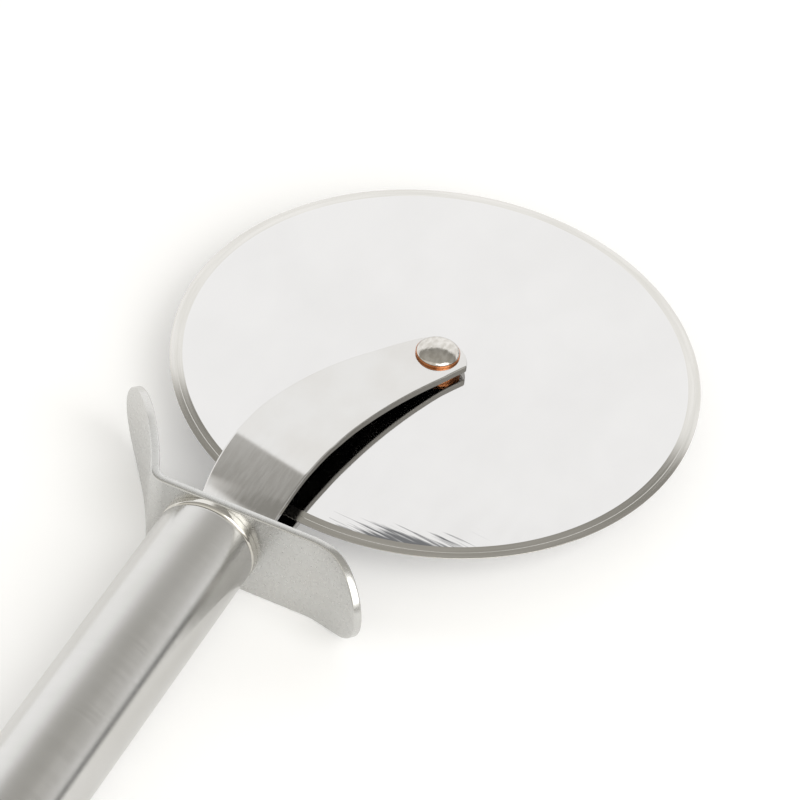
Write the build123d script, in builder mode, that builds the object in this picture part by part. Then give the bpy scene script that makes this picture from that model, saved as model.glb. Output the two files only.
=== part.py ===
# Pizza cutter: a steel wheel spins on a riveted axle between the two arms of a fork.
# The fork and a bent finger guard are screwed to the front of a tubular handle.
# It lies on its side, as it does on a table: the wheel is level, and the lower edge of
# the guard and the rim of the end cap touch the ground.
# The origin is on the ground, under the handle's axis, in the middle of the guard's sheet.
# X runs forward to the wheel, Y to the left and Z up. Lengths are in millimetres.
import os
from math import atan2, degrees, sqrt

from build123d import *

os.makedirs("parts", exist_ok=True)

overrun = 2.0
fit_gap = 0.05

# cutting wheel
wheel_d = 100.0
wheel_sheet = 1.0
wheel_bevel_width = 2.4
wheel_edge_land = 0.2
wheel_reach = 60.8
wheel_offset = 16.35

# axle
sleeve_od = 6.0
sleeve_wall = 1.0
rivet_head_d = 8.1
rivet_head_height = 1.3
rivet_head_rim = 0.3
spacer_od = 9.4
spacer_thickness = 0.9
wheel_play = 0.1
head_washer_od = 8.4
head_washer_thickness = 0.5

# fork
fork_sheet = 1.5
fork_root_half_height = 5.5
fork_crown_half_height = 6.15
fork_crown_reach = 18.6
fork_corner_radius = 1.2
fork_crown_bend_radius = 25.0
fork_slope_start = 27.0
fork_slope_half_height = 5.95
fork_slope_bend_radius = 40.0
fork_hub_bend_radius = 12.0
fork_hub_flat = 5.2
fork_near_side = 10.1
fork_far_side = 5.8
fork_near_radius = 96.0
fork_far_radius = 67.0
fork_tip_radius = 5.9
fork_tip_setback = 2.1

# finger guard
guard_sheet = 1.6
guard_width = 19.0
guard_left_flat = 9.8
guard_left_bend_radius = 3.4
guard_left_bend_angle = 64.5
guard_left_flare_radius = 73.0
guard_left_reach = 28.8
guard_right_flat = 19.2
guard_right_bend_radius = 13.5
guard_right_bend_angle = 36.0
guard_right_sweep_radius = 45.0
guard_right_reach = 31.9

# handle
tube_od = 18.8
tube_wall = 1.2
tube_length = 112.0
plug_flange_thickness = 1.7
plug_flange_round = 0.7
plug_spigot_length = 14.0

# fork screw, M4 with a slotted cheese head, and its spring washer
screw_d = 4.0
screw_clearance = 0.15
screw_head_d = 7.0
screw_head_height = 2.6
screw_slot_width = 1.2
screw_slot_depth = 1.1
screw_end_gap = 2.0
lock_washer_od = 7.0
lock_washer_thickness = 1.2
lock_washer_split = 0.8

# end cap
cap_rim_length = 3.0
cap_spigot_length = 10.0
cap_nose_length = 14.0
cap_tongue_thickness = 7.0
cap_tongue_round = 4.0
hang_hole_d = 6.0
hang_hole_setback = 6.8

# places that follow from the sizes
axis_height = guard_width / 2
wheel_r = wheel_d / 2
guard_back = -guard_sheet / 2
guard_front = guard_sheet / 2
tube_front = guard_back - plug_flange_thickness
tube_rear = tube_front - tube_length
cap_nose_start = tube_rear - cap_rim_length
cap_tip = cap_nose_start - cap_nose_length
tube_inner_r = tube_od / 2 - tube_wall
spigot_r = tube_inner_r - fit_gap
arm_gap = wheel_sheet + 2 * (spacer_thickness + wheel_play)
arm_seat = arm_gap / 2 + fork_sheet
wheel_hub = Plane(origin=(wheel_reach, -wheel_offset, axis_height))
wheel_axis = Axis(wheel_hub.origin, wheel_hub.z_dir)
upright = Plane(origin=wheel_hub.origin, x_dir=(1, 0, 0), z_dir=(0, -1, 0))
handle_axis = Axis((0, 0, axis_height), (1, 0, 0))
handle_side = Plane(origin=(0, 0, axis_height), x_dir=(1, 0, 0), z_dir=(0, -1, 0))


def across(x):
    """Plane square to the handle's axis, facing forward, at the given X."""
    return Plane(origin=(x, 0, axis_height), x_dir=(0, 1, 0), z_dir=(1, 0, 0))


def save(piece, name):
    piece.label = name
    export_step(piece, f"parts/{name}.step")


# wheel: both faces ground to a thin edge
bore_r = sleeve_od / 2 + fit_gap
bevel_start = wheel_r - wheel_bevel_width
with BuildPart() as cutting_wheel:
    with BuildSketch(upright):
        with BuildLine():
            Polyline(
                (bore_r, -wheel_sheet / 2),
                (bevel_start, -wheel_sheet / 2),
                (wheel_r, -wheel_edge_land / 2),
                (wheel_r, wheel_edge_land / 2),
                (bevel_start, wheel_sheet / 2),
                (bore_r, wheel_sheet / 2),
                close=True,
            )
        make_face()
    revolve(axis=wheel_axis)
save(cutting_wheel.part, "cutting_wheel")


# axle: a sleeve between the arms, a rivet through it, and washers at each side
def hub_ring(outer_r, inner_r, start, thickness):
    with BuildPart() as ring:
        with BuildSketch(wheel_hub.offset(start)):
            Circle(outer_r)
            Circle(inner_r, mode=Mode.SUBTRACT)
        extrude(amount=thickness)
    return ring.part


rivet_r = sleeve_od / 2 - sleeve_wall
sleeve_bore_r = rivet_r + fit_gap
spacer_bore_r = sleeve_od / 2 + fit_gap
save(hub_ring(sleeve_od / 2, sleeve_bore_r, -arm_gap / 2, arm_gap), "axle_sleeve")
for name, sign in (("upper", 1), ("lower", -1)):
    spacer = hub_ring(spacer_od / 2, spacer_bore_r, sign * arm_gap / 2, -sign * spacer_thickness)
    save(spacer, f"{name}_spacer_washer")
    washer = hub_ring(head_washer_od / 2, sleeve_bore_r, sign * arm_seat, sign * head_washer_thickness)
    save(washer, f"{name}_head_washer")

head_seat = arm_seat + head_washer_thickness
head_top = head_seat + rivet_head_height
with BuildPart() as axle_rivet:
    with BuildSketch(upright):
        with BuildLine():
            rivet_side = Polyline(
                (0, 0),
                (rivet_r, 0),
                (rivet_r, head_seat),
                (rivet_head_d / 2, head_seat),
                (rivet_head_d / 2, head_seat + rivet_head_rim),
            )
            crown = TangentArc((0, head_top), rivet_side @ 1, tangent=(1, 0))
            Line(crown @ 0, (0, 0))
        make_face()
    revolve(axis=wheel_axis)
    mirror(about=wheel_hub)
save(axle_rivet.part, "axle_rivet")

# fork: one strip bent into a U, its arms drawn in to the hub and curved to the right
arm_hub = arm_seat - fork_sheet / 2
base_middle = guard_front + fork_sheet / 2
arm_path = [
    (fork_slope_start, fork_slope_half_height - fork_sheet / 2),
    (fork_crown_reach, fork_crown_half_height - fork_sheet / 2),
    (base_middle, fork_root_half_height - fork_sheet / 2),
]
arm_bends = [
    fork_hub_bend_radius,
    fork_slope_bend_radius,
    fork_crown_bend_radius,
    fork_corner_radius,
]
tip_centre_x = wheel_reach - fork_tip_setback
tip_end = tip_centre_x + fork_tip_radius
hub_flat_start = wheel_reach - fork_hub_flat

# Plan outline: two side arcs that meet the round tip smoothly. The near arc starts where
# its centre, the tip's centre and its radius leave the straight root; likewise the far arc.
near_drop = fork_near_radius + fork_near_side - wheel_offset
near_start = tip_centre_x - sqrt((fork_near_radius + fork_tip_radius) ** 2 - near_drop**2)
near_turn = degrees(atan2(tip_centre_x - near_start, near_drop))
far_drop = fork_far_radius - fork_far_side - wheel_offset
far_crest = tip_centre_x - sqrt((fork_far_radius - fork_tip_radius) ** 2 - far_drop**2)
far_turn = degrees(atan2(tip_centre_x - far_crest, far_drop))
root_turn = degrees(atan2(far_crest - guard_front, fork_far_radius))

with BuildPart() as fork:
    with BuildSketch(handle_side):
        with BuildLine():
            FilletPolyline(
                (tip_end + overrun, arm_hub),
                (hub_flat_start, arm_hub),
                *arm_path,
                *[(x, -height) for x, height in reversed(arm_path)],
                (hub_flat_start, -arm_hub),
                (tip_end + overrun, -arm_hub),
                radius=arm_bends + arm_bends[::-1],
            )
        trace(line_width=fork_sheet)
    extrude(amount=wheel_offset + fork_tip_radius + overrun, both=True)
    with BuildSketch():
        with BuildLine():
            near_line = Line((guard_front, -fork_near_side), (near_start, -fork_near_side))
            near_arc = JernArc(near_line @ 1, near_line % 1, fork_near_radius, -near_turn)
            tip_arc = JernArc(near_arc @ 1, near_arc % 1, fork_tip_radius, 180 - far_turn + near_turn)
            far_arc = JernArc(tip_arc @ 1, tip_arc % 1, fork_far_radius, far_turn + root_turn)
            Line(far_arc @ 1, near_line @ 0)
        make_face()
    extrude(amount=guard_width, mode=Mode.INTERSECT)
    with BuildSketch(across(guard_front)):
        Circle(screw_d / 2 + screw_clearance)
    extrude(amount=fork_sheet, mode=Mode.SUBTRACT)
    with BuildSketch(wheel_hub.offset(-arm_seat)):
        Circle(sleeve_bore_r)
    extrude(amount=2 * arm_seat, mode=Mode.SUBTRACT)
save(fork.part, "fork")

# guard: a strip with full round ends, the left wing bent forward, the right one back.
# Each wing's curve runs on past its end, and the round outline cuts it.
left_flare_angle = degrees(guard_left_reach / guard_left_flare_radius)
right_sweep_angle = degrees(guard_right_reach / guard_right_sweep_radius)
guard_span = guard_left_reach + guard_right_reach
guard_middle = (guard_left_reach - guard_right_reach) / 2
screw_hole_r = screw_d / 2 + screw_clearance
with BuildPart() as finger_guard:
    with BuildSketch():
        with BuildLine():
            left_flat = Line((0, 0), (0, guard_left_flat))
            left_bend = JernArc(left_flat @ 1, left_flat % 1, guard_left_bend_radius, -guard_left_bend_angle)
            JernArc(left_bend @ 1, left_bend % 1, guard_left_flare_radius, left_flare_angle)
            right_flat = Line((0, 0), (0, -guard_right_flat))
            right_bend = JernArc(right_flat @ 1, right_flat % 1, guard_right_bend_radius, -guard_right_bend_angle)
            JernArc(right_bend @ 1, right_bend % 1, guard_right_sweep_radius, -right_sweep_angle)
        trace(line_width=guard_sheet)
    extrude(amount=guard_width)
    with BuildSketch(across(0)):
        with Locations((guard_middle, 0)):
            SlotOverall(guard_span, guard_width)
    extrude(amount=guard_span, both=True, mode=Mode.INTERSECT)
    with BuildSketch(across(guard_back)):
        Circle(screw_hole_r)
    extrude(amount=guard_sheet, mode=Mode.SUBTRACT)
save(finger_guard.part, "finger_guard")

# handle: a tube, with a threaded plug pressed into its front. The plug's flange is flush
# with the guard's edges.
with BuildPart() as handle_tube:
    with BuildSketch(across(tube_rear)):
        Circle(tube_od / 2)
        Circle(tube_inner_r, mode=Mode.SUBTRACT)
    extrude(amount=tube_length)
save(handle_tube.part, "handle_tube")

plug_rear = tube_front - plug_spigot_length
with BuildPart() as front_plug:
    with BuildSketch(across(plug_rear)):
        Circle(spigot_r)
    extrude(amount=plug_spigot_length)
    with BuildSketch(across(tube_front)):
        Circle(axis_height)
    extrude(amount=plug_flange_thickness)
    flange_edges = front_plug.edges().filter_by(GeomType.CIRCLE).sort_by(SortBy.RADIUS)[-2:]
    fillet(flange_edges.sort_by(Axis.X)[0], radius=plug_flange_round)
    with BuildSketch(across(plug_rear)):
        Circle(screw_d / 2 + fit_gap)
    extrude(amount=plug_spigot_length + plug_flange_thickness, mode=Mode.SUBTRACT)
save(front_plug.part, "front_plug")

# screw and its spring washer, between the arms at the fork's root
base_front = guard_front + fork_sheet
screw_end = plug_rear + screw_end_gap
head_start = base_front + lock_washer_thickness
with BuildPart() as lock_washer:
    with BuildSketch(across(base_front)):
        Circle(lock_washer_od / 2)
        Circle(screw_hole_r, mode=Mode.SUBTRACT)
        with Locations((0, lock_washer_od / 2)):
            Rectangle(lock_washer_split, lock_washer_od, mode=Mode.SUBTRACT)
    extrude(amount=lock_washer_thickness)
save(lock_washer.part, "lock_washer")

with BuildPart() as fork_screw:
    with BuildSketch(across(screw_end)):
        Circle(screw_d / 2)
    extrude(amount=head_start - screw_end)
    with BuildSketch(across(head_start)):
        Circle(screw_head_d / 2)
    extrude(amount=screw_head_height)
    with BuildSketch(across(head_start + screw_head_height)):
        Rectangle(screw_head_d + overrun, screw_slot_width)
    extrude(amount=-screw_slot_depth, mode=Mode.SUBTRACT)
save(fork_screw.part, "fork_screw")

# end cap: a domed nose with two flats and a hanging hole
cap_r = axis_height
hole_x = cap_tip + hang_hole_setback
with BuildPart() as end_cap:
    with BuildSketch(handle_side):
        with BuildLine():
            Polyline(
                (cap_tip, 0),
                (tube_rear + cap_spigot_length, 0),
                (tube_rear + cap_spigot_length, spigot_r),
                (tube_rear, spigot_r),
                (tube_rear, cap_r),
                (cap_nose_start, cap_r),
            )
            EllipticalCenterArc((cap_nose_start, 0), cap_nose_length, cap_r, start_angle=90, arc_size=90)
        make_face()
    revolve(axis=handle_axis)
    with BuildSketch(handle_side):
        with BuildLine():
            FilletPolyline(
                (cap_nose_start, cap_r + overrun),
                (cap_nose_start, cap_tongue_thickness / 2),
                (cap_tip - overrun, cap_tongue_thickness / 2),
                (cap_tip - overrun, cap_r + overrun),
                radius=[0, cap_tongue_round, 0, 0],
                close=True,
            )
        make_face()
        mirror(about=Plane.XZ)
    extrude(amount=cap_r + overrun, both=True, mode=Mode.SUBTRACT)
    with BuildSketch(Plane(origin=(hole_x, 0, 0))):
        Circle(hang_hole_d / 2)
    extrude(amount=guard_width, mode=Mode.SUBTRACT)
save(end_cap.part, "end_cap")
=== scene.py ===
import bmesh
import bpy
import numpy as np
from mathutils import Matrix, Vector


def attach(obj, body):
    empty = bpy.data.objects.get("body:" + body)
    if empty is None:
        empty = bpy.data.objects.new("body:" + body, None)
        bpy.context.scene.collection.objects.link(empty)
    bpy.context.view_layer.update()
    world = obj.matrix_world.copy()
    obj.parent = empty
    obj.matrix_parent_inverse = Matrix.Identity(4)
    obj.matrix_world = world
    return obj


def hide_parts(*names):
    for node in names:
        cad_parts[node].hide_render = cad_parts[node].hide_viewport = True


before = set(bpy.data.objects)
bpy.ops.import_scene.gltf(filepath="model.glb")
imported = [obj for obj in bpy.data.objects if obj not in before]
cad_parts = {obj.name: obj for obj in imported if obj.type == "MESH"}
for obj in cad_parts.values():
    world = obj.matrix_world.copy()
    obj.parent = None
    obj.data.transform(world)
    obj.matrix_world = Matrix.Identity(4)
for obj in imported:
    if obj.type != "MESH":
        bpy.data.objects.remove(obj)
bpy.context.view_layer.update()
print("frame loaded:", len(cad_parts), "nodes")

mm = 0.001  # metres in a millimetre
scene = bpy.context.scene
shared = {
    "axisHeight": 9.5,  # the handle's axis and the wheel's middle plane above the ground
    "hub": (60.8, -16.35, 9.5),
    "wheelRadius": 50.0,
    "guardFace": 0.8,  # the guard's two faces stand this far from its middle
}
meshValues = {
    "merge": 0.002,  # points nearer than this become one
    "sliver": 0.0001,
    "copyMerge": 0.001,
    "sharpAngle": 28.0,
    "stripEdge": 6,  # points round a quarter of a strip's rounded edge
    "stripFace": 17,  # points across its face
    "stripSupport": 0.12,  # from the rounding to the first point on the face
}


# Shapes


def spread(start, end, count):
    # count evenly spaced values from start to end, both included.
    return np.linspace(start, end, count)


def roundedProfile(corners, radii, steps=6, support=0.03):
    # A polyline with each corner replaced by a tangent arc of its radius: the arc's centre lies
    # on the corner's bisector, radius / sin(half the angle between the two sides) away. A
    # support point is set just before and after each arc, so that the flats stay flat.
    corners = np.array(corners, float)
    points = []
    for index, radius in enumerate(radii):
        corner = corners[index]
        if radius == 0:
            points.append(corner)
            continue
        before = corners[index - 1] - corner
        after = corners[(index + 1) % len(corners)] - corner
        before /= np.linalg.norm(before)
        after /= np.linalg.norm(after)
        half = np.arccos(np.clip(before @ after, -1, 1)) / 2
        reach = radius / np.tan(half)
        bisector = before + after
        bisector /= np.linalg.norm(bisector)
        centre = corner + bisector * radius / np.sin(half)
        first = corner + before * reach - centre
        last = corner + after * reach - centre
        share = spread(0, 1, steps + 1)[:, None]
        arc = first * (1 - share) + last * share
        arc *= radius / np.linalg.norm(arc, axis=1)[:, None]
        points.append(corner + before * (reach + support))
        points.extend(centre + arc)
        points.append(corner + after * (reach + support))
    return np.array(points)


def filletedPath(corners, radii, spacing=0.05):
    # The same rounding for an open path, returned as evenly spaced points along its length.
    path = roundedProfile(corners, radii, steps=24, support=0)
    gaps = np.linalg.norm(np.diff(path, axis=0), axis=1)
    path = path[np.concatenate([[True], gaps > 1e-9])]
    run = np.concatenate([[0], np.cumsum(np.linalg.norm(np.diff(path, axis=0), axis=1))])
    places = spread(0, run[-1], int(run[-1] / spacing) + 1)
    return np.stack([np.interp(places, run, path[:, axis]) for axis in range(2)], axis=1)


def gridObject(name, grid):
    # Quads between neighbouring points of a (rows, columns) grid of millimetre points. The UV
    # runs from 0 to 1 along the columns and down the rows. Rows or columns that meet are
    # merged, so seams and poles are closed, and the faces are then turned outwards.
    rows, columns = grid.shape[:2]
    corner = np.arange((rows - 1) * columns).reshape(rows - 1, columns)[:, :-1].ravel()
    faces = np.stack([corner, corner + 1, corner + columns + 1, corner + columns], axis=1)
    mesh = bpy.data.meshes.new(name)
    mesh.from_pydata((grid.reshape(-1, 3) * mm).tolist(), [], faces.tolist())
    across, along = np.meshgrid(spread(0, 1, columns), spread(0, 1, rows))
    vertexUv = np.stack([across.ravel(), along.ravel()], axis=1)
    layer = mesh.uv_layers.new(name="surface")
    layer.data.foreach_set("uv", vertexUv[faces.ravel()].ravel())
    shell = bmesh.new()
    shell.from_mesh(mesh)
    bmesh.ops.remove_doubles(shell, verts=shell.verts, dist=meshValues["merge"] * mm)
    bmesh.ops.dissolve_degenerate(shell, dist=meshValues["sliver"] * mm, edges=shell.edges)
    bmesh.ops.recalc_face_normals(shell, faces=shell.faces)
    shell.to_mesh(mesh)
    shell.free()
    mesh.shade_smooth()
    piece = bpy.data.objects.new(name, mesh)
    scene.collection.objects.link(piece)
    return piece


def turned(name, profile, origin, axis, start, steps, closed=True):
    # A profile of (radius, height) points carried round an axis: each point is the origin, plus
    # its height along the axis, plus its radius along a direction that turns through a circle.
    profile = np.array(profile, float)
    if closed:
        profile = np.vstack([profile, profile[:1]])
    axis, start = np.array(axis, float), np.array(start, float)
    side = np.cross(axis, start)
    angle = spread(0, 2 * np.pi, steps + 1)
    circle = np.cos(angle)[:, None] * start + np.sin(angle)[:, None] * side
    circle[-1] = circle[0]
    grid = np.array(origin) + profile[:, None, 1:2] * axis + profile[:, None, 0:1] * circle[None]
    return gridObject(name, grid)


def bentStrip(name, centre, outward, across, low, high, sheet, edgeRound, settle=None):
    # A flat strip with an outline (length, width), bent along a path. Round each station goes a
    # loop: up one edge, over one face, down the other edge and back under. An edge point is the
    # outline point moved inwards along the outline's own normal, so that the rounded edge runs
    # on round the strip's ends. The length is then laid along the path, the width goes along
    # the across direction, and the height along the path's outward normal.
    length = np.concatenate([[0], np.cumsum(np.linalg.norm(np.diff(centre, axis=0), axis=1))])
    turn = spread(0, np.pi / 2, meshValues["stripEdge"])
    inset = np.append(edgeRound * (1 - np.cos(turn)), edgeRound + meshValues["stripSupport"])
    rise = sheet / 2 - edgeRound + edgeRound * np.sin(np.append(turn, np.pi / 2))
    inset = np.concatenate([inset[::-1], inset])
    rise = np.concatenate([-rise[::-1], rise])
    edges = []
    for side, sign in ((low, 1), (high, -1)):
        run, slope = np.gradient(length), np.gradient(side)
        size = np.hypot(run, slope)
        towardsEnd, towardsSide = sign * slope / size, -sign * run / size
        towardsEnd[[0, -1]], towardsSide[[0, -1]] = (-1, 1), 0
        place = length[:, None] - towardsEnd[:, None] * inset
        width = side[:, None] - towardsSide[:, None] * inset
        edges.append(np.stack([place, width, np.broadcast_to(rise, place.shape)], axis=2))
    lowEdge, highEdge = edges
    share = spread(0, 1, meshValues["stripFace"])[1:-1][None, :, None]
    top = lowEdge[:, -1:] * (1 - share) + highEdge[:, -1:] * share
    bottom = highEdge[:, :1] * (1 - share) + lowEdge[:, :1] * share
    loop = np.concatenate([lowEdge, top, highEdge[:, ::-1], bottom, lowEdge[:, :1]], axis=1)
    place, width, height = loop[..., 0], loop[..., 1], loop[..., 2]
    ride = np.stack([np.interp(place, length, centre[:, axis]) for axis in range(3)], axis=2)
    lift = np.stack([np.interp(place, length, outward[:, axis]) for axis in range(3)], axis=2)
    lift /= np.linalg.norm(lift, axis=2)[..., None]
    grid = ride + width[..., None] * np.array(across, float) + height[..., None] * lift
    return gridObject(name, grid if settle is None else settle(grid))


def smoothCopy(node):
    # A copy of a CAD node's mesh with its loose triangles merged, so that its round surfaces
    # shade smoothly and its edges stay sharp.
    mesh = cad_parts[node].data.copy()
    mesh.name = node + "Finished"
    shell = bmesh.new()
    shell.from_mesh(mesh)
    bmesh.ops.remove_doubles(shell, verts=shell.verts, dist=meshValues["copyMerge"] * mm)
    shell.to_mesh(mesh)
    shell.free()
    mesh.shade_smooth()
    mesh.set_sharp_from_angle(angle=np.radians(meshValues["sharpAngle"]))
    piece = bpy.data.objects.new(mesh.name, mesh)
    scene.collection.objects.link(piece)
    return piece


# Materials


def linear(hexColour):
    # An sRGB hex colour as linear light: below 0.04045 a straight line, above it a power of 2.4.
    shown = np.array([int(hexColour[place : place + 2], 16) for place in (1, 3, 5)]) / 255
    light = np.where(shown <= 0.04045, shown / 12.92, ((shown + 0.055) / 1.055) ** 2.4)
    return (*light.tolist(), 1.0)


def addNode(tree, kind, settings=None, links=None, **values):
    # A node with its properties, its socket values and the sockets that feed it.
    node = tree.nodes.new("ShaderNode" + kind)
    for name, value in (settings or {}).items():
        setattr(node, name, value)
    for name, value in values.items():
        node.inputs[int(name[5:]) if name.startswith("input") else name].default_value = value
    for name, source in (links or {}).items():
        tree.links.new(source, node.inputs[name])
    return node


def noisePattern(tree, coordinates, perMillimetre, detail=2.0, low=0.35, high=0.65):
    # Noise on coordinates in metres, stretched by a different count per millimetre along each
    # axis, and spread so that low becomes 0 and high becomes 1.
    scale = [count / mm for count in perMillimetre]
    mapping = addNode(tree, "Mapping", links={"Vector": coordinates}, Scale=scale)
    noise = addNode(tree, "TexNoise", links={"Vector": mapping.outputs[0]}, Scale=1.0, Detail=detail)
    level = addNode(tree, "MapRange", links={"Value": noise.outputs[0]})
    level.inputs["From Min"].default_value, level.inputs["From Max"].default_value = low, high
    return level.outputs[0]


def polarCoordinates(tree, coordinates, hub):
    # Distance from the hub, the turn round it as a length on the wheel's rim, and height.
    away = addNode(tree, "VectorMath", {"operation": "SUBTRACT"}, {0: coordinates})
    away.inputs[1].default_value = [place * mm for place in hub]
    part = addNode(tree, "SeparateXYZ", links={0: away.outputs[0]})
    flatAway = addNode(tree, "CombineXYZ", links={0: part.outputs[0], 1: part.outputs[1]})
    reach = addNode(tree, "VectorMath", {"operation": "LENGTH"}, {0: flatAway.outputs[0]})
    angle = addNode(
        tree, "Math", {"operation": "ARCTAN2"}, {0: part.outputs[1], 1: part.outputs[0]}
    )
    arc = addNode(tree, "Math", {"operation": "MULTIPLY"}, {0: angle.outputs[0]})
    arc.inputs[1].default_value = shared["wheelRadius"] * mm
    polar = {0: reach.outputs["Value"], 1: arc.outputs[0], 2: part.outputs[2]}
    return addNode(tree, "CombineXYZ", links=polar).outputs[0]


def metalMaterial(name, values):
    # A metal whose colour drifts a little over wide patches, and whose roughness and fine
    # relief follow the marks that its finishing left.
    material = bpy.data.materials.new(name)
    material.use_nodes = True
    tree = material.node_tree
    shader = tree.nodes["Principled BSDF"]
    shader.inputs["Metallic"].default_value = 1.0
    coordinates = addNode(tree, "TexCoord").outputs["Object"]
    if "hub" in values:
        coordinates = polarCoordinates(tree, coordinates, values["hub"])
    patches = noisePattern(tree, coordinates, values["patchesPerMm"], detail=3.0)
    marks = noisePattern(tree, coordinates, values["marksPerMm"], values.get("markDetail", 2.0))
    colour = addNode(tree, "Mix", {"data_type": "RGBA"}, {"Factor": patches})
    colour.inputs[6].default_value = linear(values["colour"])
    colour.inputs[7].default_value = linear(values["patchColour"])
    tree.links.new(colour.outputs[2], shader.inputs["Base Color"])
    rough = addNode(tree, "MapRange", links={"Value": marks})
    rough.inputs["To Min"].default_value, rough.inputs["To Max"].default_value = values["roughness"]
    tree.links.new(rough.outputs[0], shader.inputs["Roughness"])
    bump = addNode(tree, "Bump", links={"Height": marks}, Strength=values["bump"])
    bump.inputs["Distance"].default_value = values["relief"] * mm
    tree.links.new(bump.outputs[0], shader.inputs["Normal"])
    return material, tree, shader


def finish(piece, material, body, slot, *nodes):
    # A piece gets its material, the body that it rides on and the CAD nodes that it stands for.
    piece.data.materials.clear()
    piece.data.materials.append(material)
    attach(piece, body)
    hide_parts(*nodes)
    return piece


# Mirror-polished stainless blade steel. It is buffed until it has no grain, so the eye sees only
# what it reflects, a little dulled by wide smears.
bladeFinish = {
    "colour": "#d2d1d0",
    "patchColour": "#cfcecd",
    "patchesPerMm": (0.05, 0.07, 0.05),  # smears a couple of centimetres wide
    "marksPerMm": (0.12, 0.3, 0.12),
    "roughness": (0.035, 0.07),
    "bump": 0.0,
    "relief": 0.001,
}
# The same steel where the edge is ground on a turning wheel: fine rings, and a duller mirror.
edgeFinish = {
    "colour": "#cfcdc9",
    "patchColour": "#c6c4bf",
    "patchesPerMm": (0.9, 0.05, 0),
    "marksPerMm": (3.5, 0.02, 0),  # drawn 0.3 mm apart, because real grit rings are finer
    "markDetail": 3.0,
    "roughness": (0.09, 0.16),
    "bump": 0.25,
    "relief": 0.004,
    "hub": shared["hub"],
}
# Chromium-plated steel, polished: a warmer mirror than the blade.
chromeFinish = {
    "colour": "#d0cec9",
    "patchColour": "#c9c6bf",
    "patchesPerMm": (0.15, 0.15, 0.15),
    "marksPerMm": (0.5, 0.5, 0.5),
    "roughness": (0.08, 0.14),
    "bump": 0.03,
    "relief": 0.006,
}
# Cold-rolled stainless strip, pressed and tumbled: soft reflections and a faint lengthwise grain.
forkFinish = {
    "colour": "#cbcac8",
    "patchColour": "#c7c5c2",
    "patchesPerMm": (0.08, 0.12, 0.1),
    "marksPerMm": (0.2, 1.6, 1.6),  # rolling lines half a millimetre apart, drawn coarse
    "roughness": (0.07, 0.11),
    "bump": 0.03,
    "relief": 0.003,
}
# Satin stainless strip: bead-tumbled, so it is evenly grey and spreads every reflection.
guardFinish = {
    "colour": "#c9c9c7",
    "patchColour": "#c5c4c1",
    "patchesPerMm": (0.05, 0.05, 0.08),
    "marksPerMm": (1.5, 1.5, 1.5),
    "roughness": (0.24, 0.28),
    "bump": 0.015,
    "relief": 0.002,
}
# Linished steel tube: an abrasive belt went round it, so fine lines run round the handle and
# smear each reflection along it.
tubeFinish = {
    "colour": "#cac9c7",
    "patchColour": "#c5c4c1",
    "patchesPerMm": (0.06, 0.1, 0.1),
    "marksPerMm": (4.5, 0.05, 0.05),  # belt lines 0.2 mm apart, drawn coarser than the real grit
    "markDetail": 4.0,
    "roughness": (0.18, 0.23),
    "bump": 0.16,
    "relief": 0.006,
    "anisotropy": 0.9,
    "anisotropyTurn": 0.25,  # a quarter turn, so that reflections stretch along the handle
}
# Steel rivet, its head snapped to shape by a rotary tool that leaves small flats and scores.
rivetFinish = {
    "colour": "#cfccc7",
    "patchColour": "#b9b5ae",
    "patchesPerMm": (0.6, 1.1, 0.6),
    "marksPerMm": (0.8, 1.7, 1.0),
    "markDetail": 4.0,
    "roughness": (0.09, 0.17),
    "bump": 0.30,
    "relief": 0.04,
}
# Plain stainless screw steel, as turned: dull reflections and fine pits.
screwFinish = {
    "colour": "#c4c4c1",
    "patchColour": "#b6b5b0",
    "patchesPerMm": (0.4, 0.4, 0.4),
    "marksPerMm": (3.0, 3.0, 3.0),
    "roughness": (0.22, 0.32),
    "bump": 0.08,
    "relief": 0.006,
}
# Soft copper washers, lightly oxidised to orange-brown.
copperFinish = {
    "colour": "#d0895a",
    "patchColour": "#a9683f",
    "patchesPerMm": (0.6, 0.6, 0.6),
    "marksPerMm": (3.0, 3.0, 3.0),
    "roughness": (0.22, 0.38),
    "bump": 0.08,
    "relief": 0.006,
}
mirrorSteel, bladeTree, bladeShader = metalMaterial("mirrorSteel", bladeFinish)
groundSteel = metalMaterial("groundSteel", edgeFinish)[0]
chromePlate = metalMaterial("chromePlate", chromeFinish)[0]
pressedSteel = metalMaterial("pressedSteel", forkFinish)[0]
satinSteel = metalMaterial("satinSteel", guardFinish)[0]
linishedSteel, tubeTree, tubeShader = metalMaterial("linishedSteel", tubeFinish)
rivetSteel = metalMaterial("rivetSteel", rivetFinish)[0]
screwSteel = metalMaterial("screwSteel", screwFinish)[0]
copper = metalMaterial("copper", copperFinish)[0]
tubeShader.inputs["Anisotropic"].default_value = tubeFinish["anisotropy"]
tubeShader.inputs["Anisotropic Rotation"].default_value = tubeFinish["anisotropyTurn"]
tubeTangent = addNode(tubeTree, "Tangent", {"direction_type": "UV_MAP", "uv_map": "surface"})
tubeTree.links.new(tubeTangent.outputs[0], tubeShader.inputs["Tangent"])

# Scratches where the grinding wheel ran off the edge: leaning lines, about two a millimetre,
# that thin out towards the middle and at both ends of the patch.
wearValues = {
    "reach": (42.6, 47.8),
    "middle": -163.5,  # the turn round the hub, from X towards Y
    "halfWidth": 22.0,
    "linesLean": -4.8,
    "linesPerMm": (2.1, 0.11, 0.05),
    "lineNoise": (3.0, 0.3, 0.7),  # its detail, and the levels that become 0 and 1
    "markLevel": (0.8, 1.3),  # a mark starts at the first level and is full at the second
    "fadeIn": 5.0,  # how fast the marks set in at the patch's border
    "colour": "#6f7072",
    "roughness": 0.16,
}


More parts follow.
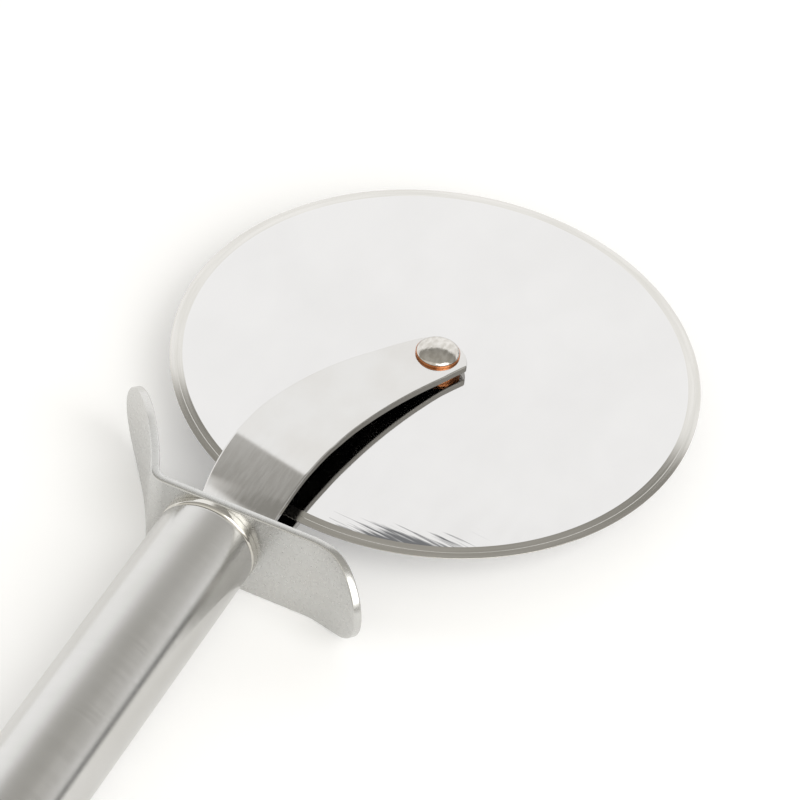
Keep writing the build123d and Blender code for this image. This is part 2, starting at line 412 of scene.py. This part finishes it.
def wearLines(tree, shader, values):
    # Stretched noise, kept where it is above a level that falls towards the middle of the patch.
    coordinates = addNode(tree, "TexCoord").outputs["Object"]
    polar = polarCoordinates(tree, coordinates, shared["hub"])
    place = addNode(tree, "SeparateXYZ", links={0: polar})
    radial = addNode(tree, "MapRange", links={"Value": place.outputs[0]})
    radial.inputs["From Min"].default_value = values["reach"][0] * mm
    radial.inputs["From Max"].default_value = values["reach"][1] * mm
    away = addNode(tree, "Math", {"operation": "SUBTRACT"}, {0: place.outputs[1]})
    away.inputs[1].default_value = np.radians(values["middle"]) * shared["wheelRadius"] * mm
    away = addNode(tree, "Math", {"operation": "ABSOLUTE"}, {0: away.outputs[0]})
    around = addNode(tree, "MapRange", {"interpolation_type": "SMOOTHSTEP"}, {0: away.outputs[0]})
    around.inputs[1].default_value = 0
    around.inputs[2].default_value = np.radians(values["halfWidth"]) * shared["wheelRadius"] * mm
    around.inputs[3].default_value, around.inputs[4].default_value = 1, 0
    patch = addNode(
        tree, "Math", {"operation": "MULTIPLY"}, {0: radial.outputs[0], 1: around.outputs[0]}
    )
    leaning = addNode(tree, "Mapping", links={"Vector": coordinates})
    leaning.inputs["Rotation"].default_value = (0, 0, np.radians(-values["linesLean"]))
    lines = noisePattern(tree, leaning.outputs[0], values["linesPerMm"], *values["lineNoise"])
    both = addNode(tree, "Math", {"operation": "ADD"}, {0: lines, 1: patch.outputs[0]})
    mark = addNode(tree, "MapRange", {"clamp": True}, {"Value": both.outputs[0]})
    mark.inputs["From Min"].default_value, mark.inputs["From Max"].default_value = values["markLevel"]
    inside = addNode(
        tree, "Math", {"operation": "MULTIPLY", "use_clamp": True}, {0: patch.outputs[0]}
    )
    inside.inputs[1].default_value = values["fadeIn"]
    mark = addNode(
        tree, "Math", {"operation": "MULTIPLY"}, {0: mark.outputs[0], 1: inside.outputs[0]}
    )
    for name, index, value in (
        ("Base Color", 7, linear(values["colour"])),
        ("Roughness", 3, values["roughness"]),
    ):
        before = shader.inputs[name].links[0].from_socket
        kind = "RGBA" if name == "Base Color" else "FLOAT"
        mix = addNode(tree, "Mix", {"data_type": kind}, {0: mark.outputs[0]})
        tree.links.new(before, mix.inputs[index - 1])
        mix.inputs[index].default_value = value
        tree.links.new(mix.outputs[2 if kind == "RGBA" else 0], shader.inputs[name])


wearLines(bladeTree, bladeShader, wearValues)
print("materials made")

# Pieces round the hub

wheelSizes = {
    "bore": 3.05,
    "sheet": 1.0,
    "bevelStart": 47.6,
    "ledge": (48.74, 48.85, 0.30),  # the bevel's two grinds leave a fine level line between them
    "edgeLand": 0.2,
    "rounds": (0.05, 0.1, 0.1, 0.25, 0.1),  # at the edge, the ledge, the bevel's start, the bore
    "steps": 720,
}
flat, land = wheelSizes["sheet"] / 2, wheelSizes["edgeLand"] / 2
ledgeStart, ledgeEnd, ledgeHeight = wheelSizes["ledge"]
upperCorners = [
    (shared["wheelRadius"], land),
    (ledgeEnd, ledgeHeight),
    (ledgeStart, ledgeHeight),
    (wheelSizes["bevelStart"], flat),
    (wheelSizes["bore"], flat),
]
wheelCorners = [(radius, -height) for radius, height in reversed(upperCorners)] + upperCorners
wheelProfile = roundedProfile(wheelCorners, wheelSizes["rounds"][::-1] + wheelSizes["rounds"])
wheel = turned(
    "cuttingWheel", wheelProfile, shared["hub"], (0, 0, 1), (1, 0, 0), wheelSizes["steps"]
)
finish(wheel, mirrorSteel, "wheel", "polished_steel", "cutting_wheel")
wheel.data.materials.append(groundSteel)
middles = np.zeros(len(wheel.data.polygons) * 3)
wheel.data.polygons.foreach_get("center", middles)
reach = np.hypot(*(middles.reshape(-1, 3) / mm - shared["hub"])[:, :2].T)
ground = (reach > wheelSizes["bevelStart"]).astype(np.int32)
wheel.data.polygons.foreach_set("material_index", ground)

# Radii, and heights above the wheel's middle.
hubRings = {
    "upper_head_washer": {"inner": 2.05, "outer": 4.2, "from": 3.0, "to": 3.5},
    "lower_head_washer": {"inner": 2.05, "outer": 4.2, "from": -3.5, "to": -3.0},
    "upper_spacer_washer": {"inner": 3.05, "outer": 4.7, "from": 0.6, "to": 1.5},
    "lower_spacer_washer": {"inner": 3.05, "outer": 4.7, "from": -1.5, "to": -0.6},
    "axle_sleeve": {"inner": 2.05, "outer": 3.0, "from": -1.5, "to": 1.5},
}
ringEdges = {"rounds": (0.04, 0.12, 0.12, 0.04), "roundSteps": 4, "steps": 96}
for node, ring in hubRings.items():
    corners = [
        (ring["inner"], ring["from"]),
        (ring["outer"], ring["from"]),
        (ring["outer"], ring["to"]),
        (ring["inner"], ring["to"]),
    ]
    profile = roundedProfile(corners, ringEdges["rounds"], ringEdges["roundSteps"])
    piece = turned(
        node + "Ring", profile, shared["hub"], (0, 0, 1), (1, 0, 0), ringEdges["steps"]
    )
    washer = "washer" in node
    slot = "copper" if washer else "rivet_steel"
    finish(piece, copper if washer else rivetSteel, "cutter_body", slot, node)

rivetSizes = {
    "shank": 2.0,
    "headRadius": 4.05,
    "seat": 3.5,
    "rim": 0.3,  # the short straight side of the head
    "headHeight": 1.3,
    "browStart": 3.45,  # outside this radius the dome falls away faster
    "brow": 0.175,  # and is this much lower at its rim
    "domeSteps": 25,
    "steps": 128,
}
domeRise = rivetSizes["headHeight"] - rivetSizes["rim"]
domeRadius = (rivetSizes["headRadius"] ** 2 + domeRise**2) / (2 * domeRise)
domeTurn = np.arcsin(rivetSizes["headRadius"] / domeRadius) * spread(0, 1, rivetSizes["domeSteps"])
headTop = rivetSizes["seat"] + rivetSizes["headHeight"]
domeReach = domeRadius * np.sin(domeTurn)
domeHeight = headTop - domeRadius * (1 - np.cos(domeTurn))
browWidth = rivetSizes["headRadius"] - rivetSizes["browStart"]
browShare = np.clip((domeReach - rivetSizes["browStart"]) / browWidth, 0, 1)
domeHeight -= rivetSizes["brow"] * browShare**2
halfHead = np.concatenate(
    [
        np.stack([domeReach, domeHeight], axis=1),
        [(rivetSizes["headRadius"], rivetSizes["seat"]), (rivetSizes["shank"], rivetSizes["seat"])],
    ]
)
rivetProfile = np.concatenate([halfHead, halfHead[::-1] * (1, -1)])
rivet = turned(
    "axleRivet", rivetProfile, shared["hub"], (0, 0, 1), (1, 0, 0), rivetSizes["steps"], closed=False
)
finish(rivet, rivetSteel, "cutter_body", "rivet_steel", "axle_rivet")
print("wheel and axle made")

# Fork

forkSizes = {
    "sheet": 1.5,
    "edgeRound": 0.22,
    "rootHalfHeight": 5.5,
    "crown": (18.6, 6.15),  # where the arms stand furthest apart: X, half height
    "slope": (27.0, 5.95),
    "hubFlat": 5.2,
    "armSeat": 3.0,
    "bendRadii": (12.0, 40.0, 25.0, 1.2),  # at the hub, the slope, the crown and the root
    "crownSlant": 0.238,  # how far the crown runs forward for each millimetre to the left
    "crownPivot": -2.7,
    "crownIn": (4.0, 9.0),  # the slant sets in between these two X, and ends between the next
    "crownOut": (26.0, 34.0),
    "armBand": (3.0, 4.4),  # only what stands this far from the middle is part of an arm
    "settleEnd": 40.0,  # nothing settles in front of this X
    "levelFrom": 5.8,  # behind this X the arm levels off towards the root
    "levelSlant": 0.19,
    "levelRun": 2.0,
    "levelSlope": 0.04,
    "nearSide": -10.05,
    "nearRadius": 106.0,
    "nearStart": 10.5,
    "farCrest": 5.8,
    "farRadius": 67.0,
    "tipRadius": 6.4,
    "tipCorner": 0.8,
    "tipSetback": 2.1,
    "tipSteps": 61,
    "stations": 300,
}
hubX, hubY = shared["hub"][:2]
halfSheet = forkSizes["sheet"] / 2
tipX = hubX - forkSizes["tipSetback"]
tipRadius = forkSizes["tipRadius"]
armHub = forkSizes["armSeat"] - halfSheet
baseX = shared["guardFace"] + halfSheet
upperArm = [
    (tipX + tipRadius, armHub),
    (hubX - forkSizes["hubFlat"], armHub),
    (forkSizes["slope"][0], forkSizes["slope"][1] - halfSheet),
    (forkSizes["crown"][0], forkSizes["crown"][1] - halfSheet),
    (baseX, forkSizes["rootHalfHeight"] - halfSheet),
]
forkRadii = (0, *forkSizes["bendRadii"])
forkPath = filletedPath(
    upperArm + [(x, -height) for x, height in reversed(upperArm)], forkRadii + forkRadii[::-1]
)


def nearSideAt(x):
    # Straight from the root, then the near arc, a small rounded corner and the round tip. The
    # corner's centre lies its radius outside the near arc and its radius inside the tip, which
    # the law of cosines gives; each arc is a half circle's height where it starts and ends.
    nearRadius, cornerRadius = forkSizes["nearRadius"], forkSizes["tipCorner"]
    nearCentre = np.array([forkSizes["nearStart"], forkSizes["nearSide"] - nearRadius])
    tipCentre = np.array([tipX, hubY])
    away = np.linalg.norm(tipCentre - nearCentre)
    outer, inner = nearRadius + cornerRadius, tipRadius - cornerRadius
    cosine = (outer**2 + away**2 - inner**2) / (2 * outer * away)
    way = np.arctan2(*(tipCentre - nearCentre)) + np.arccos(cosine)
    corner = nearCentre + outer * np.array([np.sin(way), np.cos(way)])
    firstX = nearCentre[0] + nearRadius * np.sin(way)
    lastX = tipX + tipRadius * (corner[0] - tipX) / inner
    arc = nearCentre[1] + np.sqrt(np.maximum(nearRadius**2 - (x - nearCentre[0]) ** 2, 0))
    bend = corner[1] - np.sqrt(np.maximum(cornerRadius**2 - (x - corner[0]) ** 2, 0))
    tip = hubY - np.sqrt(np.maximum(tipRadius**2 - (x - tipX) ** 2, 0))
    places = [x < nearCentre[0], x < firstX, x < lastX]
    return np.select(places, [forkSizes["nearSide"] + 0 * x, arc, bend], tip)


def farSideAt(x):
    # One long arc from the root to the round tip.
    reach = forkSizes["farRadius"] - tipRadius
    centreY = forkSizes["farCrest"] - forkSizes["farRadius"]
    crestX = tipX - np.sqrt(reach**2 - (hubY - centreY) ** 2)
    meetX = tipX + tipRadius * (tipX - crestX) / reach
    arc = centreY + np.sqrt(np.maximum(forkSizes["farRadius"] ** 2 - (x - crestX) ** 2, 0))
    tip = hubY + np.sqrt(np.maximum(tipRadius**2 - (x - tipX) ** 2, 0))
    return np.where(x < meetX, arc, tip)


forkLength = np.concatenate(
    [[0], np.cumsum(np.linalg.norm(np.diff(forkPath, axis=0), axis=1))]
)
tipAngles = spread(0, np.pi / 2, forkSizes["tipSteps"])
tipPlaces = tipRadius * (1 - np.sin(tipAngles))[::-1]
bodyPlaces = spread(tipRadius, forkLength[-1] - tipRadius, forkSizes["stations"])[1:-1]
forkPlaces = np.concatenate([tipPlaces, bodyPlaces, forkLength[-1] - tipPlaces[::-1]])
forkX = np.interp(forkPlaces, forkLength, forkPath[:, 0])
forkZ = np.interp(forkPlaces, forkLength, forkPath[:, 1])
forkCentre = np.stack([forkX, 0 * forkX, forkZ + shared["axisHeight"]], axis=1)
direction = np.gradient(forkPath, axis=0)
direction /= np.linalg.norm(direction, axis=1)[:, None]
forkOutward = np.stack(
    [
        np.interp(forkPlaces, forkLength, direction[:, 1]),
        0 * forkX,
        -np.interp(forkPlaces, forkLength, direction[:, 0]),
    ],
    axis=1,
)
upperHalf = forkPath[: len(forkPath) // 2][::-1]
armStart = int(np.argmax(upperHalf[:, 0] > baseX + forkSizes["bendRadii"][-1]))
armX, armZ = upperHalf[armStart:].T


def smoothRise(value, start, end):
    # 0 up to start, 1 from end on, and 3t^2 - 2t^3 between them.
    share = np.clip((value - start) / (end - start), 0, 1)
    return share * share * (3 - 2 * share)


def settleFork(grid):
    # The press left the crown slanting across the arms: the arm's height is read a little
    # further back where the strip is further left. Behind a slanting line near the root the
    # arm levels off, by half the curvature times the distance squared, then by a straight line.
    x, y, z = np.moveaxis(grid, 2, 0).copy()
    z -= shared["axisHeight"]
    slant = forkSizes["crownSlant"] * (y - forkSizes["crownPivot"])
    window = smoothRise(x, *forkSizes["crownIn"]) * (1 - smoothRise(x, *forkSizes["crownOut"]))
    rise = window * (np.interp(x - slant, armX, armZ) - np.interp(x, armX, armZ))
    behind = forkSizes["levelFrom"] + forkSizes["levelSlant"] * y - x
    behind = np.clip(behind, 0, forkSizes["levelFrom"])
    bend = np.minimum(behind, forkSizes["levelRun"])
    rise += forkSizes["levelSlope"] * (bend**2 / (2 * forkSizes["levelRun"]) + behind - bend)
    rise *= smoothRise(np.abs(z), *forkSizes["armBand"]) * (x < forkSizes["settleEnd"])
    grid = grid.copy()
    grid[..., 2] += np.sign(z) * rise
    return grid


fork = bentStrip(
    "forkStrip",
    forkCentre,
    forkOutward,
    (0, 1, 0),
    nearSideAt(forkX),
    farSideAt(forkX),
    forkSizes["sheet"],
    forkSizes["edgeRound"],
    settleFork,
)
finish(fork, pressedSteel, "cutter_body", "sheet_steel", "fork")
print("fork made")

# Finger guard

guardSizes = {
    "sheet": 1.6,
    "edgeRound": 0.28,
    "endRadius": 9.5,
    "leftReach": 28.8,
    "rightReach": -31.9,
    "leftTurns": ((0, 9.8), (64.5, 3.4), (-22.61, 73.0)),  # turn forward, radius; then back
    "rightTurns": ((0, 19.2), (36.0, 13.5), (40.62, 45.0)),
    "pathStep": 0.02,
    "stations": 180,
}


def wingPath(turns, side, forward):
    # A straight run from the middle, then arcs joined end to end: along each arc the heading
    # turns evenly, and the place is the running sum of the heading times the step.
    step = guardSizes["pathStep"]
    heading, headings = 0.0, [np.zeros(int(turns[0][1] / step))]
    for turn, radius in turns[1:]:
        count = int(abs(np.radians(turn)) * radius / step)
        headings.append(heading + np.radians(turn) * (np.arange(count) + 0.5) / count)
        heading += np.radians(turn)
    heading = np.concatenate(headings)
    x = forward * np.concatenate([[0], np.cumsum(np.sin(heading) * step)])
    y = side * np.concatenate([[0], np.cumsum(np.cos(heading) * step)])
    return np.stack([x, y], axis=1)


leftWing = wingPath(guardSizes["leftTurns"], 1, 1)
rightWing = wingPath(guardSizes["rightTurns"], -1, -1)
guardPath = np.concatenate([rightWing[::-1], leftWing[1:]])
endRadius = guardSizes["endRadius"]
leftMiddle = guardSizes["leftReach"] - endRadius
rightMiddle = guardSizes["rightReach"] + endRadius
guardY = np.concatenate(
    [
        rightMiddle - endRadius * np.sin(tipAngles[::-1]),
        spread(rightMiddle, leftMiddle, guardSizes["stations"])[1:-1],
        leftMiddle + endRadius * np.sin(tipAngles),
    ]
)
guardX = np.interp(guardY, guardPath[:, 1], guardPath[:, 0])
pastEnd = np.maximum(guardY - leftMiddle, 0) + np.maximum(rightMiddle - guardY, 0)
guardHalf = np.sqrt(np.maximum(endRadius**2 - pastEnd**2, 0))
direction = np.gradient(guardPath, axis=0)
direction /= np.linalg.norm(direction, axis=1)[:, None]
guardOutward = np.stack(
    [
        -np.interp(guardY, guardPath[:, 1], direction[:, 1]),
        np.interp(guardY, guardPath[:, 1], direction[:, 0]),
        0 * guardY,
    ],
    axis=1,
)
guard = bentStrip(
    "fingerGuard",
    np.stack([guardX, guardY, 0 * guardY + shared["axisHeight"]], axis=1),
    guardOutward,
    (0, 0, 1),
    -guardHalf,
    guardHalf,
    guardSizes["sheet"],
    guardSizes["edgeRound"],
)
finish(guard, satinSteel, "cutter_body", "satin_steel", "finger_guard")
print("guard made")

# Handle

handleSizes = {
    "tubeFront": -2.5,
    "tubeRear": -114.5,
    "outer": 9.4,
    "inner": 8.2,
    "flangeFront": -0.8,
    "flangeRadius": 9.5,
    "spigot": 8.15,
    "spigotRear": -16.5,
    "screwHole": 2.05,
    "tubeRounds": (0.1, 0.35, 0.45, 0.1),
    "plugRounds": (0.1, 0.2, 0.05, 0.75, 0.1, 0.1),
    "roundSteps": 8,
    "tubeSteps": 256,
    "plugSteps": 192,
}
handleStart = (0, 0, shared["axisHeight"])
tubeCorners = [
    (handleSizes["inner"], handleSizes["tubeRear"]),
    (handleSizes["outer"], handleSizes["tubeRear"]),
    (handleSizes["outer"], handleSizes["tubeFront"]),
    (handleSizes["inner"], handleSizes["tubeFront"]),
]
tubeProfile = roundedProfile(tubeCorners, handleSizes["tubeRounds"], handleSizes["roundSteps"])
tube = turned(
    "handleTube", tubeProfile, handleStart, (1, 0, 0), (0, 0, 1), handleSizes["tubeSteps"]
)
finish(tube, linishedSteel, "cutter_body", "brushed_steel", "handle_tube")
plugCorners = [
    (handleSizes["screwHole"], handleSizes["spigotRear"]),
    (handleSizes["spigot"], handleSizes["spigotRear"]),
    (handleSizes["spigot"], handleSizes["tubeFront"]),
    (handleSizes["flangeRadius"], handleSizes["tubeFront"]),
    (handleSizes["flangeRadius"], handleSizes["flangeFront"]),
    (handleSizes["screwHole"], handleSizes["flangeFront"]),
]
plugProfile = roundedProfile(plugCorners, handleSizes["plugRounds"], handleSizes["roundSteps"])
plug = turned("frontPlug", plugProfile, handleStart, (1, 0, 0), (0, 0, 1), handleSizes["plugSteps"])
finish(plug, chromePlate, "cutter_body", "polished_steel", "front_plug")
finish(smoothCopy("end_cap"), chromePlate, "cutter_body", "polished_steel", "end_cap")
finish(smoothCopy("fork_screw"), screwSteel, "cutter_body", "screw_steel", "fork_screw")
finish(smoothCopy("lock_washer"), screwSteel, "cutter_body", "screw_steel", "lock_washer")
print("handle made")

# Floor, light and camera

floorValues = {"side": 6000.0, "colour": "#ececec", "background": 0.21}
half = floorValues["side"] / 2
floorGrid = np.array([[(-half, -half, 0), (half, -half, 0)], [(-half, half, 0), (half, half, 0)]])
floor = gridObject("floor", floorGrid)
paper = bpy.data.materials.new("whitePaper")  # matt white paper
paper.use_nodes = True
paperTree = paper.node_tree
paperTree.nodes.remove(paperTree.nodes["Principled BSDF"])
lightPath = addNode(paperTree, "LightPath")
seen = addNode(
    paperTree,
    "Math",
    {"operation": "ADD"},
    {0: lightPath.outputs["Is Camera Ray"], 1: lightPath.outputs["Is Glossy Ray"]},
)
seen = addNode(
    paperTree,
    "Math",
    {"operation": "ADD"},
    {0: seen.outputs[0], 1: lightPath.outputs["Is Transmission Ray"]},
)
lift = addNode(paperTree, "Math", {"operation": "MULTIPLY"}, {0: seen.outputs[0]})
lift.inputs[1].default_value = floorValues["background"]
matt = addNode(paperTree, "BsdfDiffuse", Color=linear(floorValues["colour"]))
glow = addNode(paperTree, "Emission", links={"Strength": lift.outputs[0]})
both = addNode(paperTree, "AddShader", links={0: matt.outputs[0], 1: glow.outputs[0]})
paperTree.links.new(both.outputs[0], paperTree.nodes["Material Output"].inputs["Surface"])
floor.data.materials.append(paper)

# The studio round the object, as the metal sees it: a tall white screen ahead, whose straight top
# edge shows in every polished face, a darker ceiling above it, a pale room behind the camera
# and a dark gap low on the right, between the floor's end and the screen.
studioValues = {
    "ahead": 19.8,  # the way the screen faces, from X towards Y
    "screenTop": 47.6,
    "screenSoftness": 0.035,
    "screen": 1.32,
    "ceiling": 0.37,
    "zenith": 0.56,
    "zenithReach": 0.5,  # the ceiling's level changes over this share of the way up
    "ceilingEnd": 112.0,  # over the top and down behind the camera
    "ceilingSoftness": 0.12,
    "room": 0.95,
    "gap": 0.26,
    "gapTop": 9.0,
    "gapSoftness": 4.0,
    "gapRight": (0.1, 0.45),  # the gap sets in and is full at these shares of the way right
    "ceilingColour": "#fffcf4",
    "screenColour": "#ffffff",
}
world = bpy.data.worlds.new("studio")
scene.world = world
world.use_nodes = True
worldTree = world.node_tree
around = addNode(worldTree, "TexCoord").outputs["Generated"]


def shareAlong(facing, start, end):
    # 0 to 1 as the direction's share along facing goes from start to end.
    along = addNode(worldTree, "VectorMath", {"operation": "DOT_PRODUCT"}, {0: around})
    along.inputs[1].default_value = facing
    rise = addNode(
        worldTree, "MapRange", {"interpolation_type": "SMOOTHSTEP"}, {0: along.outputs["Value"]}
    )
    rise.inputs[1].default_value, rise.inputs[2].default_value = start, end
    return rise.outputs[0]


def blended(factor, first, second, kind="FLOAT"):
    # The first where the factor is 0 and the second where it is 1, each a value or a socket.
    mix = addNode(worldTree, "Mix", {"data_type": kind}, {0: factor})
    places = (2, 3) if kind == "FLOAT" else (6, 7)
    for place, value in zip(places, (first, second)):
        if isinstance(value, bpy.types.NodeSocket):
            worldTree.links.new(value, mix.inputs[place])
        else:
            mix.inputs[place].default_value = value
    return mix.outputs[0 if kind == "FLOAT" else 2]


ahead = np.radians(studioValues["ahead"])
forward = np.array([np.cos(ahead), np.sin(ahead), 0])
overhead = np.array([0, 0, 1.0])


def upPast(lean):
    # The way square to a plane that leans back from the way ahead by an angle, so that what
    # lies above that plane has a positive share along it.
    return np.cos(np.radians(lean)) * overhead - np.sin(np.radians(lean)) * forward


screenUp = upPast(studioValues["screenTop"])
soft = studioValues["screenSoftness"]
aboveScreen = shareAlong(screenUp, -soft, soft)
soft = studioValues["ceilingSoftness"]
behind = shareAlong(upPast(studioValues["ceilingEnd"]), -soft, soft)
soft = studioValues["gapSoftness"]
gapEdge = np.array([studioValues["gapTop"] - soft, studioValues["gapTop"] + soft])
high = shareAlong(overhead, *np.sin(np.radians(gapEdge)))
right = shareAlong((0, -1, 0), *studioValues["gapRight"])
low = blended(high, right, 0.0)
upward = shareAlong(screenUp, 0.0, studioValues["zenithReach"])
ceiling = blended(upward, studioValues["ceiling"], studioValues["zenith"])
ceiling = blended(behind, ceiling, studioValues["room"])
level = blended(aboveScreen, studioValues["screen"], ceiling)
level = blended(low, level, studioValues["gap"])
tint = blended(
    aboveScreen,
    linear(studioValues["screenColour"]),
    linear(studioValues["ceilingColour"]),
    "RGBA",
)
background = worldTree.nodes["Background"]
worldTree.links.new(tint, background.inputs["Color"])
worldTree.links.new(level, background.inputs["Strength"])

keyValues = {
    "target": (20.0, -10.0, 0.0),
    "from": (-0.365, -0.655, 0.661),
    "distance": 1200.0,
    "side": 1000.0,
    "watts": 8.0,
}
target = Vector(keyValues["target"]) * mm
keyWay = Vector(keyValues["from"]).normalized()
keyData = bpy.data.lights.new("softbox", "AREA")
keyData.size = keyValues["side"] * mm
keyData.energy = keyValues["watts"]
key = bpy.data.objects.new("softbox", keyData)
scene.collection.objects.link(key)
key.location = target + keyWay * keyValues["distance"] * mm
key.rotation_euler = keyWay.to_track_quat("Z", "Y").to_euler()

cameraValues = {
    "aim": (48.81, -14.42, 9.5),
    "distance": 706.02,
    "azimuth": 19.766,  # the way it looks, from X towards Y
    "down": 43.686,
    "roll": 7.42,
    "lens": 171.29,
    "sensor": 36.0,
    "clipStart": 10.0,
}
heading, down = np.radians(cameraValues["azimuth"]), np.radians(cameraValues["down"])
look = Vector(
    (np.cos(heading) * np.cos(down), np.sin(heading) * np.cos(down), -np.sin(down))
)
levelRight = Vector((look.y, -look.x, 0)).normalized()
cameraRight = Matrix.Rotation(np.radians(-cameraValues["roll"]), 3, look) @ levelRight
cameraUp = cameraRight.cross(look)
cameraData = bpy.data.cameras.new("camera")
cameraData.lens = cameraValues["lens"]
cameraData.sensor_width = cameraValues["sensor"]
cameraData.clip_start = cameraValues["clipStart"] * mm
camera = bpy.data.objects.new("camera", cameraData)
scene.collection.objects.link(camera)
turn = Matrix((cameraRight, cameraUp, -look)).transposed().to_4x4()
turn.translation = (Vector(cameraValues["aim"]) - look * cameraValues["distance"]) * mm
camera.matrix_world = turn
scene.camera = camera
scene.view_settings.view_transform = "Standard"
print("lights and camera set")
